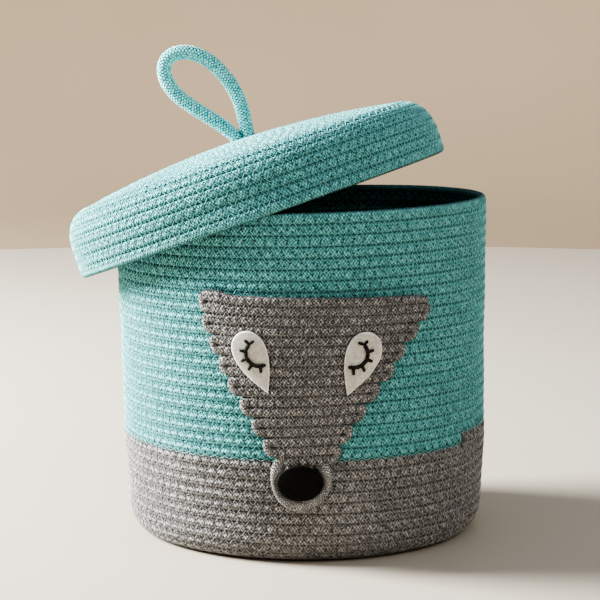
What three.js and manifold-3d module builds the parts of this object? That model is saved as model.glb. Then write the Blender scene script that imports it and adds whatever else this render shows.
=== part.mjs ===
// A lidded storage basket of coiled cotton rope, with a sleepy animal face sewn on its front.
// The lid lies ajar on the rim and carries a loop of rope. Millimetres, +Z up.
// The origin is the centre of the base's underside, and the face looks along -Y.
import * as THREE from 'three';
import { mergeVertices } from 'three/addons/utils/BufferGeometryUtils.js';
import Module from 'manifold-3d';

// Rope, felt and clearances
const rowPitch = 7.8;
const wall = 6.4;
const grooveDepth = 1.6;
const rimCrown = 1.2;
const loopRope = 8.8;
const faceRope = 6.4;
const snoutRope = 7;
const felt = 2.2;
const thread = 1.4;
const seatGap = 0.3;
const lieGap = 0.5;

// Basket: a flat base, a rounded corner and a wall that opens a little towards the rim
const baseRadius = 119.5;
const baseLap = 2;
const cornerWidth = 14;
const cornerHeight = 24;
const fullWidthHeight = 70;
const bodyRadius = 136.5;
const straightHeight = 140;
const rimRadius = 138;
const basketHeight = 248;
const colourHeight = 74.2;
const colourAngle = 57;
const rimEndAngle = -100;
const ropeTaperColumns = 3;
// The soft wall leans a little to the left, nothing at the base and most at the rim.
const leanAngle = 1.7;

// Lid: a shallow dome, a round shoulder and a skirt that reaches over the rim
const lidEase = 1;
const lidRadius = rimRadius + lidEase + wall;
const lidSkirt = 21;
const shoulderWidth = 23;
const shoulderRise = 29;
const domeRise = 11.5;
const crownHeart = 18;
const lidEndAngle = 150;
const lidSlopeX = -0.34;
const lidSlopeY = 0.078;
const lidShiftX = -27.4;
const lidShiftY = 7.1;
const lidDrop = 17.1;

// Loop handle: its route in the lid's upright plane, from left leg to right leg, measured
// across and above its seat
const loopRoute = [
  [-5.4, 0], [-10.6, 6.4], [-18, 15], [-28.6, 29], [-37, 44], [-40.8, 57], [-38, 67], [-30, 71.8],
  [-19.8, 69], [-10.8, 62.4], [-3.7, 51.8], [1.6, 37], [4.8, 21.6], [5.6, 9.4], [5.0, 0],
];
const loopSteps = 54;
const loopSides = 6;
const knotDepth = 9;
const knotSpread = 5;
const neckClearance = 0.3;

// Face panel: one rope laid to and fro in rows, whose turns make the scalloped sides
const panelRows = 17;
const panelPitch = 6.85;
const panelTop = 191.3;
const panelTilt = 1.1;
const panelGroove = 1.5;
const panelEdge = 2.4;
const panelColumns = 12;
const leftTurns = [70.2, 68.6, 64.4, 57.6, 50.6, 43, 35.2, 27.8];
const rightTurns = [93.4, 83.8, 73, 63.4, 53, 43.2, 33.8, 24.8];
const firstRowEnd = 87;
const lastRowEnd = 19.5;

// Snout, nose, eyes and lashes, placed by arc from the front line and height up the wall
const eyeSeat = 2 * seatGap + faceRope;
const snoutAcross = -2.5;
const snoutHeight = 59;
const snoutHalfWidth = 20.3;
const snoutHalfHeight = 19.4;
const noseHalfWidth = 15.9;
const noseHalfHeight = 12.5;
const noseRise = 1.2;
const noseUp = 0.9;
const eyeLength = 46;
const eyeWidth = 23;
const leftEyeTip = [-23.2, 122.8];
const rightEyeTip = [28.4, 120.6];
const eyeTurn = 22;
const lashWidth = 1.7;
const leftLash = [[-36.2, 157.6], [-38.6, 153], [-37.6, 148.2], [-34.2, 144.4], [-30, 143], [-25.7, 143]];
const rightLash = [[41.4, 155.9], [44.2, 150.8], [43.5, 145.6], [39.6, 141.6], [35.4, 140.6], [30.8, 141]];
const leftTicks = [
  [-36.2, 157.6, -39.2, 161.4], [-36.2, 157.6, -32.5, 160.4], [-38.6, 153, -43.2, 153.4],
  [-37.6, 148.2, -42.1, 144.8], [-34.2, 144.4, -37.2, 138.6], [-28.6, 143, -28.6, 137.8],
];
const rightTicks = [
  [41.4, 155.9, 37.9, 158.8], [41.4, 155.9, 45.1, 159.2], [44.2, 150.8, 49.6, 151.2],
  [43.5, 145.6, 48.4, 142.1], [39.6, 141.6, 42.7, 135.4], [34.2, 140.8, 34.2, 134.8],
];

// The rows climb clockwise seen from above. Each turn has regular columns and one thin
// column at the end, where a rope stops short and the next one starts.
const regularColumns = 36;
const thinColumn = 1.2 / 360;
const columns = regularColumns + 1;
const mergeDistance = 1e-4;
const halvings = 40;

const wasm = await Module();
wasm.setup();

const radians = THREE.MathUtils.degToRad;
const lidPeak = lidSkirt + shoulderRise + domeRise;

// Closed geometry from loose triangles: shared corners are merged and empty triangles dropped.
function closedGeometry(corners) {
  const loose = new THREE.BufferGeometry();
  loose.setAttribute('position', new THREE.Float32BufferAttribute(corners.flat(), 3));
  const merged = mergeVertices(loose, mergeDistance);
  const index = Array.from(merged.index.array);
  const kept = [];
  for (let k = 0; k < index.length; k += 3) {
    const [a, b, c] = index.slice(k, k + 3);
    if (a !== b && b !== c && c !== a) {
      kept.push(a, b, c);
    }
  }
  if (signedVolume(merged.attributes.position, kept) < 0) {
    kept.reverse();
  }
  merged.setIndex(kept);
  merged.computeVertexNormals();
  return merged;
}

function signedVolume(position, index) {
  const [a, b, c] = [new THREE.Vector3(), new THREE.Vector3(), new THREE.Vector3()];
  let volume = 0;
  for (let k = 0; k < index.length; k += 3) {
    a.fromBufferAttribute(position, index[k]);
    b.fromBufferAttribute(position, index[k + 1]);
    c.fromBufferAttribute(position, index[k + 2]);
    volume += a.dot(b.cross(c)) / 6;
  }
  return volume;
}

function toManifold(geometry) {
  const plain = geometry.clone();
  plain.deleteAttribute('normal');
  plain.deleteAttribute('uv');
  const merged = mergeVertices(plain, mergeDistance);
  return new wasm.Manifold(new wasm.Mesh({
    numProp: 3,
    vertProperties: merged.attributes.position.array,
    triVerts: Uint32Array.from(merged.index.array),
  }));
}

function fromManifold(solid) {
  const mesh = solid.getMesh();
  const geometry = new THREE.BufferGeometry();
  geometry.setAttribute('position', new THREE.BufferAttribute(mesh.vertProperties, 3));
  geometry.setIndex(Array.from(mesh.triVerts));
  geometry.computeVertexNormals();
  return geometry;
}

// Moves every corner of a geometry to the place that a function gives for it.
function reshaped(geometry, place) {
  const position = geometry.attributes.position;
  for (let k = 0; k < position.count; k += 1) {
    position.setXYZ(k, ...place(position.getX(k), position.getY(k), position.getZ(k)));
  }
  geometry.computeVertexNormals();
  return geometry;
}

// A half-section drawn as points of radius and height, read by the length along it.
function sectionPath(points) {
  const lengths = [0];
  for (let k = 1; k < points.length; k += 1) {
    const [r0, z0] = points[k - 1];
    const [r1, z1] = points[k];
    lengths.push(lengths[k - 1] + Math.hypot(r1 - r0, z1 - z0));
  }
  const normals = points.map((_, k) => {
    const [r0, z0] = points[Math.max(k - 1, 0)];
    const [r1, z1] = points[Math.min(k + 1, points.length - 1)];
    const span = Math.hypot(r1 - r0, z1 - z0);
    return [(z1 - z0) / span, (r0 - r1) / span];
  });
  function at(length) {
    let k = 1;
    while (k < points.length - 1 && lengths[k] < length) k += 1;
    const part = (length - lengths[k - 1]) / (lengths[k] - lengths[k - 1]);
    const turn = THREE.MathUtils.clamp(part, 0, 1);
    const blend = (a, b, t) => a + (b - a) * t;
    return {
      r: blend(points[k - 1][0], points[k][0], part),
      z: blend(points[k - 1][1], points[k][1], part),
      outR: blend(normals[k - 1][0], normals[k][0], turn),
      outZ: blend(normals[k - 1][1], normals[k][1], turn),
    };
  }
  return { at, lengths, total: lengths[lengths.length - 1] };
}

function quarterEllipse(centreR, centreZ, width, height, from, to, steps) {
  return Array.from({ length: steps + 1 }, (_, k) => {
    const angle = radians(from + ((to - from) * k) / steps);
    return [centreR + width * Math.cos(angle), centreZ + height * Math.sin(angle)];
  });
}

// The basket's outer half-section, from the edge of the flat base up to the rim
const basketPath = sectionPath([
  [baseRadius - baseLap, 0],
  ...quarterEllipse(baseRadius, cornerHeight, cornerWidth, cornerHeight, -90, 0, 8),
  [bodyRadius, fullWidthHeight],
  [bodyRadius, straightHeight],
  [rimRadius, basketHeight],
]);

// The lid's outer half-section, from the middle of the crown out and down to the skirt's foot
const shoulderStart = lidRadius - shoulderWidth;
const domeSteps = 6;
const domePoints = Array.from({ length: domeSteps }, (_, k) => {
  const share = k / domeSteps;
  return [shoulderStart * share, lidSkirt + shoulderRise + domeRise * (1 - share * share)];
});
const shoulderPoints = quarterEllipse(shoulderStart, lidSkirt, shoulderWidth, shoulderRise, 90, 0, 7);
const lidPath = sectionPath([...domePoints, ...shoulderPoints, [lidRadius, 0]]);

// The path's normals point outwards on the basket; on the lid the section runs the other way.
function sectionPoint(path, length, inset, side) {
  const p = path.at(length);
  return [Math.max(p.r - side * inset * p.outR, 0), p.z - side * inset * p.outZ];
}

function pathAtHeight(height) {
  let low = 0;
  let high = basketPath.total;
  for (let k = 0; k < halvings; k += 1) {
    const middle = (low + high) / 2;
    const reached = basketPath.at(middle).z >= height;
    high = reached ? middle : high;
    low = reached ? low : middle;
  }
  return low;
}

// The basket's lean: its rows shift to the left and tip down on that side.
function leaning(x, y, z) {
  const lean = (radians(leanAngle) * z) / basketHeight;
  return [x - (lean * z) / 2, y, z + x * lean];
}

// A point over the wall's front: arc from the front line, height, and distance off the rope's crest
function onWall(across, height, off) {
  const angle = across / bodyRadius;
  const radius = basketPath.at(pathAtHeight(height)).r + off;
  return leaning(radius * Math.sin(angle), -radius * Math.cos(angle), height);
}

function columnOf(i) {
  return ((i % columns) + columns) % columns;
}

function columnTurn(i) {
  const column = columnOf(i);
  return column < regularColumns ? column / regularColumns : 1 - thinColumn;
}

function basketPlace(length, i, inset) {
  const [r, z] = sectionPoint(basketPath, length, inset, 1);
  const angle = radians(colourAngle) - 2 * Math.PI * columnTurn(i);
  return leaning(r * Math.sin(angle), -r * Math.cos(angle), z);
}

function lidPlace(length, i, inset) {
  const [r, z] = sectionPoint(lidPath, length, inset, -1);
  const angle = radians(lidEndAngle) - 2 * Math.PI * columnTurn(i);
  return [r * Math.sin(angle), -r * Math.cos(angle), z];
}

// A length of coiled and sewn rope as one closed body. The groove between two rows is a
// spiral. A body starts and stops at a level edge (from, to) or where its rope does
// (first, last, counted in columns along the rope).
function coil(shape) {
  const { place, start, pitch, first, last, levels } = shape;
  const { from = -Infinity, to = Infinity, taper = 1, crown = 0, heart = false } = shape;
  const corners = [];
  const quad = (a, b, c, d) => corners.push(a, b, c, a, c, d);
  const turns = (i) => Math.floor(i / columns) + columnTurn(i);
  const groove = (i) => THREE.MathUtils.clamp(start + pitch * turns(i), from, to);
  const below = (i) => (i < first ? groove(i + columns) : groove(i));
  const above = (i) => {
    const share = Math.min(1, (last - i) / taper);
    return groove(i) + (groove(i + columns) - groove(i)) * share;
  };
  const crest = (i) => {
    const share = Math.min(1, (above(i) - below(i)) / pitch);
    return place((above(i) + below(i)) / 2, i, grooveDepth * (1 - share));
  };
  const sewn = (length, i) => place(length, i, grooveDepth);
  const lower = Array(columns).fill(from);
  const upper = Array(columns).fill(to);
  for (let i = 0; i < columns; i += 1) {
    if (from === -Infinity) lower[columnOf(first + i)] = below(first + i);
    if (to === Infinity) upper[columnOf(last - 1 - i)] = above(last - 1 - i);
  }
  for (let i = first - 1; i < last; i += 1) {
    quad(sewn(below(i), i), sewn(below(i + 1), i + 1), crest(i + 1), crest(i));
    quad(crest(i), crest(i + 1), sewn(above(i + 1), i + 1), sewn(above(i), i));
  }
  const inner = (j, share) => place(lower[j] + (upper[j] - lower[j]) * share, j, wall);
  const ridge = (j) => place(upper[j] + crown, j, (grooveDepth + wall) / 2);
  for (let j = 0; j < columns; j += 1) {
    const k = (j + 1) % columns;
    quad(sewn(upper[j], j), sewn(upper[k], k), ridge(k), ridge(j));
    quad(ridge(j), ridge(k), inner(k, 1), inner(j, 1));
    for (let n = levels.length - 1; n > 0; n -= 1) {
      const [high, low] = [levels[n], levels[n - 1]];
      quad(inner(j, high), inner(k, high), inner(k, low), inner(j, low));
    }
    if (heart) {
      quad(inner(j, 0), inner(k, 0), place(0, k, wall), place(0, j, wall));
      quad(sewn(0, j), sewn(0, k), sewn(from, k), sewn(from, j));
    } else {
      quad(inner(j, 0), inner(k, 0), sewn(lower[k], k), sewn(lower[j], j));
    }
  }
  return closedGeometry(corners);
}

// A closed pad with an outline that can be seen whole from its centre. The section gives
// the share of the outline and the distance off the wall, from back centre to front centre.
function wallPad(outline, [centreX, centreZ], section) {
  const corners = [];
  const point = (k, [share, off]) => {
    const [x, z] = outline[k % outline.length];
    return onWall(centreX + (x - centreX) * share, centreZ + (z - centreZ) * share, off);
  };
  for (let k = 0; k < outline.length; k += 1) {
    for (let n = 1; n < section.length; n += 1) {
      const [a, b] = [point(k, section[n - 1]), point(k + 1, section[n - 1])];
      const [c, d] = [point(k + 1, section[n]), point(k, section[n])];
      corners.push(a, b, c, a, c, d);
    }
  }
  return closedGeometry(corners);
}

function ellipseOutline(centreX, centreZ, halfWidth, halfHeight, steps) {
  return Array.from({ length: steps }, (_, k) => {
    const angle = (2 * Math.PI * k) / steps;
    return [centreX + halfWidth * Math.cos(angle), centreZ + halfHeight * Math.sin(angle)];
  });
}

// Base: a flat disc of coiled rope inside the wall's first row
function baseCoil() {
  const edge = baseRadius - baseLap - seatGap - lieGap;
  const round = 2;
  const sides = 48;
  const profile = [
    [0, 0], [edge - round, 0], [edge, round], [edge, wall - round], [edge - round, wall], [0, wall],
  ];
  const points = profile.map(([r, z]) => new THREE.Vector2(r, z));
  return new THREE.LatheGeometry(points, sides).rotateX(Math.PI / 2);
}

// Wall rows are counted from the place where the grey rope stops and the teal rope starts.
const colourLength = pathAtHeight(colourHeight);
const frontTurn = colourAngle / 360;
const upperRows = Math.round((basketPath.total - colourLength) / rowPitch);
const upperPitch = (basketPath.total - colourLength) / (upperRows + frontTurn);
const rimColumn = Math.round(((colourAngle - rimEndAngle) / 360) * regularColumns);

function lowerWallCoil() {
  const rows = Math.ceil(colourLength / rowPitch) + 1;
  return coil({
    place: basketPlace, start: colourLength, pitch: rowPitch, from: 0,
    first: -rows * columns, last: 0, levels: [0, 0.2, 0.4, 0.7, 1],
  });
}

function upperWallCoil() {
  return coil({
    place: basketPlace, start: colourLength + seatGap, pitch: upperPitch - seatGap / upperRows,
    first: 0, last: (upperRows - 1) * columns + rimColumn, taper: ropeTaperColumns, crown: rimCrown,
    levels: [0, 0.3, 0.65, 1],
  });
}

// Lid: the crown ends level where the shoulder starts, and the skirt goes on from there.
const crownLength = lidPath.lengths[domeSteps];
const lidRows = Math.floor(lidPath.total / rowPitch);

const loopStart = loopRoute[0];
const loopEnd = loopRoute[loopRoute.length - 1];
const loopMiddle = (loopStart[0] + loopEnd[0]) / 2;
const legSpread = (loopEnd[0] - loopStart[0]) / 2;
const loopFoot = lidPeak - grooveDepth;
const loopSeat = loopFoot + seatGap + loopRope / 2;

// A solid round both legs of the loop, wider than the legs' centres by the radius given
function roundLegs(radius, bottom, top) {
  const shape = new THREE.Shape();
  shape.absarc(legSpread, 0, radius, -Math.PI / 2, Math.PI / 2, false);
  shape.absarc(-legSpread, 0, radius, Math.PI / 2, (3 * Math.PI) / 2, false);
  const options = { depth: top - bottom, bevelEnabled: false, curveSegments: loopSides };
  return new THREE.ExtrudeGeometry(shape, options).translate(loopMiddle, 0, bottom);
}

function lidCrownCoil() {
  const rows = Math.ceil(crownLength / rowPitch) + 1;
  const disc = coil({
    place: lidPlace, start: 0, pitch: rowPitch, from: crownHeart, to: crownLength,
    first: 0, last: rows * columns, levels: [0, 0.5, 1], heart: true,
  });
  const neck = roundLegs(loopRope / 2 + neckClearance, lidPeak - 2 * wall, lidPeak + wall);
  return fromManifold(toManifold(disc).subtract(toManifold(neck)));
}

function lidSkirtCoil() {
  return coil({
    place: lidPlace, start: 0, pitch: rowPitch, from: crownLength + seatGap,
    first: Math.floor(crownLength / rowPitch - 1) * columns, last: (lidRows - 1) * columns,
    taper: ropeTaperColumns, crown: rimCrown, levels: [0, 0.25, 0.5, 0.75, 1],
  });
}

// The legs of the loop go down through the crown and are sewn into one knot beneath it.
function loopKnot() {
  const knotReach = legSpread + loopRope / 2 + knotSpread;
  const knotTop = lidPath.at(knotReach).z - wall - seatGap;
  const neck = roundLegs(loopRope / 2, knotTop - knotDepth / 2, loopFoot);
  const knot = roundLegs(loopRope / 2 + knotSpread, knotTop - knotDepth, knotTop);
  return fromManifold(toManifold(neck).add(toManifold(knot)));
}

// The loop stands in the lid's upright plane. Its ends are round where they meet the legs' knot.
function loopHandle() {
  const routePoints = loopRoute.map(([x, z]) => new THREE.Vector3(x, 0, z));
  const route = new THREE.CatmullRomCurve3(routePoints, false, 'centripetal');
  const section = new THREE.Shape();
  section.absarc(0, 0, loopRope / 2, 0, 2 * Math.PI, false);
  const options = { steps: loopSteps, curveSegments: loopSides, extrudePath: route };
  const rope = new THREE.ExtrudeGeometry(section, options);
  const ends = [loopStart, loopEnd].map(([x, z]) => {
    const ball = new THREE.SphereGeometry(loopRope / 2, 2 * loopSides, loopSides);
    return toManifold(ball.translate(x, 0, z));
  });
  return fromManifold(toManifold(rope).add(ends[0]).add(ends[1]));
}

// Where a row of the face panel ends, at half-row k counted from the top
function turnReach(k, turns, firstHalfRow, loose) {
  const pair = Math.floor((k - firstHalfRow) / 4);
  const reach = (n) => {
    if (n < 0 || n >= turns.length) {
      return loose;
    }
    const off = (k - firstHalfRow - 4 * n - 2) / 2;
    return turns[n] - panelPitch * (1 - Math.sqrt(Math.max(0, 1 - off * off)));
  };
  const atMeeting = (k - firstHalfRow) % 4 === 0;
  return atMeeting ? (reach(pair - 1) + reach(pair)) / 2 : reach(pair);
}

function facePanel() {
  const halfRows = 2 * panelRows;
  const corners = [];
  const crest = seatGap + faceRope;
  const point = (k, c, off) => {
    const left = -turnReach(k, leftTurns, 0, lastRowEnd);
    const right = turnReach(k, rightTurns, 2, firstRowEnd);
    const across = left + ((right - left) * c) / panelColumns;
    const height = panelTop - (panelPitch * k) / 2 - across * Math.tan(radians(panelTilt));
    return onWall(across, height, off);
  };
  const front = (k, c) => {
    const atEdge = k === 0 || k === halfRows || c === 0 || c === panelColumns;
    const off = k % 2 ? crest : crest - panelGroove;
    return point(k, c, atEdge ? panelEdge : off);
  };
  const back = (k, c) => point(k, c, seatGap);
  const quad = (a, b, c, d) => corners.push(a, b, c, a, c, d);
  for (let k = 0; k < halfRows; k += 1) {
    for (let c = 0; c < panelColumns; c += 1) {
      quad(front(k, c), front(k + 1, c), front(k + 1, c + 1), front(k, c + 1));
      quad(back(k, c), back(k, c + 1), back(k + 1, c + 1), back(k + 1, c));
    }
    const end = panelColumns;
    quad(front(k, 0), back(k, 0), back(k + 1, 0), front(k + 1, 0));
    quad(front(k, end), front(k + 1, end), back(k + 1, end), back(k, end));
  }
  for (let c = 0; c < panelColumns; c += 1) {
    quad(front(0, c), front(0, c + 1), back(0, c + 1), back(0, c));
    quad(front(halfRows, c), back(halfRows, c), back(halfRows, c + 1), front(halfRows, c + 1));
  }
  const clearOfSnout = wallPad(
    ellipseOutline(snoutAcross, snoutHeight, snoutHalfWidth + seatGap, snoutHalfHeight + seatGap, 36),
    [snoutAcross, snoutHeight],
    [[0, -wall], [1, -wall], [1, 4 * faceRope], [0, 4 * faceRope]],
  );
  return fromManifold(toManifold(closedGeometry(corners)).subtract(toManifold(clearOfSnout)));
}

// A small coil of rope: its outer turn is the raised ring round the nose.
function snoutCoil() {
  const ring = snoutRope / 2;
  const round = 0.9;
  const crest = seatGap + snoutRope;
  const middle = crest - grooveDepth;
  const shareAt = (inward) => 1 - inward / snoutHalfWidth;
  return wallPad(
    ellipseOutline(snoutAcross, snoutHeight, snoutHalfWidth, snoutHalfHeight, 32),
    [snoutAcross, snoutHeight],
    [
      [0, seatGap], [shareAt(round), seatGap], [1, seatGap + ring / 2], [1, seatGap + ring],
      [shareAt(round), crest - round], [shareAt(ring), crest], [shareAt(snoutRope), middle], [0, middle],
    ],
  );
}

// The nose is a felt oval that swells a little towards its middle.
function nosePad() {
  const seat = 2 * seatGap + snoutRope;
  const edge = seat + felt;
  const swell = 0.6;
  const round = 0.9;
  return wallPad(
    ellipseOutline(snoutAcross, snoutHeight + noseUp, noseHalfWidth, noseHalfHeight, 28),
    [snoutAcross, snoutHeight + noseUp],
    [
      [0, seat], [swell, seat], [1, seat], [1, seat + felt / 2], [round, edge],
      [swell, edge + noseRise / 2], [0, edge + noseRise],
    ],
  );
}

// A point of an eye, measured from its tip along its axis and across it
function onEye([tipX, tipZ], side, along, across) {
  const turn = radians(eyeTurn) * side;
  const x = tipX + across * Math.cos(turn) + along * Math.sin(turn);
  const z = tipZ - across * Math.sin(turn) + along * Math.cos(turn);
  return [x, z];
}

// Each eye is a teardrop with its tip at the foot, leaning outwards.
function eyeFelt(tip, side) {
  const steps = 26;
  const fullness = 0.77;
  const widest = 0.6;
  const outline = Array.from({ length: steps }, (_, k) => {
    const t = (2 * Math.PI * (k + 0.5)) / steps;
    const along = (eyeLength * (1 - Math.cos(t))) / 2;
    const across = (eyeWidth / (2 * fullness)) * Math.sin(t) * Math.sin(t / 2);
    return onEye(tip, side, along, across);
  });
  const front = eyeSeat + felt;
  return wallPad(
    outline,
    onEye(tip, side, widest * eyeLength, 0),
    [[0, eyeSeat], [0.5, eyeSeat], [1, eyeSeat], [1, front], [0.5, front], [0, front]],
  );
}

// Lashes: short straight stitches of thread, joined into one body and laid on the felt
function stitch(x0, z0, x1, z1) {
  const length = Math.hypot(x1 - x0, z1 - z0) + lashWidth;
  const bar = new THREE.BoxGeometry(length, lashWidth, thread);
  bar.rotateZ(Math.atan2(z1 - z0, x1 - x0));
  return toManifold(bar.translate((x0 + x1) / 2, (z0 + z1) / 2, eyeSeat + felt + seatGap + thread / 2));
}

function lash(arc, ticks) {
  const arcBars = arc.slice(1).map(([x, z], k) => stitch(arc[k][0], arc[k][1], x, z));
  const tickBars = ticks.map((ends) => stitch(...ends));
  const flat = [...arcBars, ...tickBars].reduce((whole, bar) => whole.add(bar));
  return reshaped(fromManifold(flat), onWall);
}

// Colours of the photographed rope, felt and thread
const tealRope = { color: 0x5fa79f, roughness: 0.95, metalness: 0 };
const greyRope = { color: 0x8b8683, roughness: 0.95, metalness: 0 };
const whiteFelt = { color: 0xe4e2da, roughness: 1, metalness: 0 };
const blackFelt = { color: 0x14130f, roughness: 1, metalness: 0 };
const blackThread = { color: 0x1b1a18, roughness: 0.8, metalness: 0 };

function part(name, geometry, finish) {
  const mesh = new THREE.Mesh(geometry, new THREE.MeshStandardMaterial(finish));
  mesh.name = name;
  return mesh;
}

const basket = new THREE.Group();
basket.add(
  part('base_coil', baseCoil(), greyRope),
  part('lower_wall_coil', lowerWallCoil(), greyRope),
  part('upper_wall_coil', upperWallCoil(), tealRope),
  part('face_panel', facePanel(), greyRope),
  part('snout_coil', snoutCoil(), greyRope),
  part('nose_pad', nosePad(), blackFelt),
  part('eye_felt_left', eyeFelt(leftEyeTip, -1), whiteFelt),
  part('eye_felt_right', eyeFelt(rightEyeTip, 1), whiteFelt),
  part('lash_left', lash(leftLash, leftTicks), blackThread),
  part('lash_right', lash(rightLash, rightTicks), blackThread),
);

const loop = new THREE.Group();
loop.add(part('loop_handle', loopHandle(), tealRope));
loop.position.set(0, 0, loopSeat);

const lid = new THREE.Group();
lid.add(
  part('lid_crown_coil', lidCrownCoil(), tealRope),
  part('lid_skirt_coil', lidSkirtCoil(), tealRope),
  part('loop_knot', loopKnot(), tealRope),
  loop,
);

// The lid lies ajar: its crown rests on the left of the rim and its skirt on the front and the back.
const lidAxis = new THREE.Vector3(lidSlopeX, lidSlopeY, 1).normalize();
const [rimX, rimY, rimZ] = leaning(0, 0, basketHeight);
lid.quaternion.setFromUnitVectors(new THREE.Vector3(0, 0, 1), lidAxis);
lid.position.set(rimX + lidShiftX, rimY + lidShiftY, rimZ - lidDrop);

const object = new THREE.Group();
object.add(basket, lid);

export default object;
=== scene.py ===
import math

import bpy
import numpy as np
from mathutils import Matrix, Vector


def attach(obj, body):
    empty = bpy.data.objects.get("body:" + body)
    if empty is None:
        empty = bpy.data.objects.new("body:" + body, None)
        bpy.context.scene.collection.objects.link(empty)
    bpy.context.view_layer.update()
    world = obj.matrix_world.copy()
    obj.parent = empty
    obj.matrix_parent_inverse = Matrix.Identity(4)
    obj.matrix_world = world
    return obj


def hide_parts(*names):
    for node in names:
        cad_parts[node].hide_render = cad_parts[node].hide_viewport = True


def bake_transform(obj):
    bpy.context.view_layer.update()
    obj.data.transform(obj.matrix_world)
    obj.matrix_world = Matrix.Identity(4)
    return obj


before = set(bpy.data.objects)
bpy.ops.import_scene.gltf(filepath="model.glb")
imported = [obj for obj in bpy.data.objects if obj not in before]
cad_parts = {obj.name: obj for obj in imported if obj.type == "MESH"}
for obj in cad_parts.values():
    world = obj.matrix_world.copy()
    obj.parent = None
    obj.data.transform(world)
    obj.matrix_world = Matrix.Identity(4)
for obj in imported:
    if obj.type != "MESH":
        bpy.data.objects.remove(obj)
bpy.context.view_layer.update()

MM = 0.001
TURN = 2 * math.pi

# Rope, felt and clearances
ROW_PITCH = 7.8
WALL = 6.4
LOOP_ROPE = 8.8
FACE_ROPE = 6.4
SNOUT_ROPE = 7.0
FELT = 2.2
SEAT_GAP = 0.3
GROOVE_DEPTH = 1.6
ROPE_STEP = 1.9
ROPE_SQUARENESS = 2.3
ROPE_TIP = 0.08
ROW_OVERLAP = 1.043

# Unevenness of a rope wall: how much, waves in a turn, height of a wave, share of the phase
UNEVEN = [(0.55, 2, 70, 1), (0.3, 5, -33, 2), (0.16, 13, 9, 1)]
UNEVEN_WITHIN = 60.0

# Sewing: the zigzag's period, the thread's half-thickness, its reach to each side as a share of a row
STITCH = 7.8
PANEL_STITCH = 5.6
THREAD = 0.33
PANEL_THREAD = 0.27
SEAM_REACH = 0.33
COLOUR_SEAM_REACH = 0.13
LOWER_HOLE = 0.25
UPPER_HOLE = 0.75
HOLE_DEPTH = 1.7
DENT_DEPTH = 0.8
DENT_ALONG = 1.7
DENT_ACROSS = 1.5
SEAM_DRIFT = [(0.5, 211, 0), (0.35, 97, 1), (0.15, 31, 0)]

# Basket
BASE_EDGE = 117.5
BASE_LIFT = 0.6
CORNER_RADIUS = 119.5
CORNER_WIDTH = 14.0
CORNER_HEIGHT = 24.0
FULL_WIDTH_HEIGHT = 70.0
BODY_RADIUS = 136.5
STRAIGHT_HEIGHT = 140.0
RIM_RADIUS = 138.0
BASKET_HEIGHT = 248.0
COLOUR_HEIGHT = 74.2
COLOUR_ANGLE = 57.0
RIM_END_ANGLE = -100.0
LEAN_ANGLE = 1.7
BASKET_PHASE = 0.6

# Lid
LID_RADIUS = RIM_RADIUS + 1.0 + WALL
LID_SKIRT = 21.0
SHOULDER_WIDTH = 23.0
SHOULDER_RISE = 29.0
DOME_RISE = 11.5
LID_PEAK = LID_SKIRT + SHOULDER_RISE + DOME_RISE
LID_END_ANGLE = 150.0
LID_PHASE = 2.4
LID_UNEVEN = 0.5
RIM_FLARE = 3.4
FLARE_TURN = 8.0
FLARE_NARROWNESS = 1.9
FLARE_TOP = 20.0
FLARE_FADE = 16.0
LOW_END_DRAWN = 2.2
LOW_END_WIDTH = 0.55
LOW_END_TOP = 48.0
LOW_END_FADE = 24.0
LID_AXIS = np.array([-0.34, 0.078, 1.0])
LID_SHIFT = np.array([-27.4, 7.1, -17.1])

# Loop: a round braid, and its middle line across and up from its seat
LOOP_SEAT = LID_PEAK - GROOVE_DEPTH + SEAT_GAP + LOOP_ROPE / 2
LOOP_BRAID = 10.7
LOOP_SWELL = 0.07
LOOP_STRANDS = 8
LOOP_LAY = 19.0
STRAND_WIDTH = 1.04
STRAND_HEIGHT = 0.75
STRAND_DEPTH = 1.05
STRAND_RISE = 0.35
CORE_DEPTH = 1.3
# Where round a strand the core sits in the cord's map: low, so that the core gets painted shade
CORE_SHADE = 0.04
LEG_DEPTH = 9
KNOT_ROPE = 5.2
KNOT_TURNS = 2.1
KNOT_DROP = 3.9
KNOT_REACH = 5
KNOT_LEGS = 11
LOOP_ROUTE = [
    (-0.2, 0), (-7.4, 11), (-16, 21.8), (-24, 31.6), (-31, 41.8), (-35.2, 52.4), (-35.4, 61.8), (-32, 69),
    (-26, 72.4), (-19, 72.4), (-11.6, 69.6), (-4.6, 64), (1, 56.8), (6.2, 46.4), (9.6, 35.4), (11.1, 23.6),
    (10.6, 12), (9.2, 0),
]

# Face
PANEL_ROWS = 17
PANEL_PITCH = 6.98
PANEL_TOP = 191.3
PANEL_TILT = 2.2
PANEL_TILT_CHANGE = -5.0
PANEL_EDGE_SAG = -1.0
PANEL_CORNER = -46.0
PANEL_CORNER_LIFT = 2.6
PANEL_EDGE_FADE = 12.0
PANEL_ROPE_STEP = 1.5
PANEL_STRIP = 60
TURN_REACH = 6.2
TURN_LEAN = 0.5
TURN_FULLNESS = 1.03
TURN_SQUARENESS = 0.85
TURN_OVERLAP = 0.985
ROW_END_ROUND = 9.0
ROW_END_DROP = 0.94
LEFT_TURNS = [72.2, 70.3, 65.1, 58.7, 52.2, 43.9, 35.8, 28.4]
RIGHT_TURNS = [94.6, 84.1, 73.1, 64.1, 53.2, 43.3, 33.7, 25.5]
FIRST_ROW_END = 93.4
LAST_ROW_END = 14.0
SNOUT = np.array([-2.2, 63.0])
SNOUT_HALF = np.array([20.6, 23.6])
SNOUT_UNDER_PANEL = 3.2
SNOUT_TURNS = 2.55
SNOUT_START = 0.28
SNOUT_PACKED = 0.92
RING_TURNS = 0.86
RING_STEP = 0.3
NOSE = np.array([-2.95, 61.2])
NOSE_HALF = np.array([15.35, 12.75])
NOSE_RISE = 1.2
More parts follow.
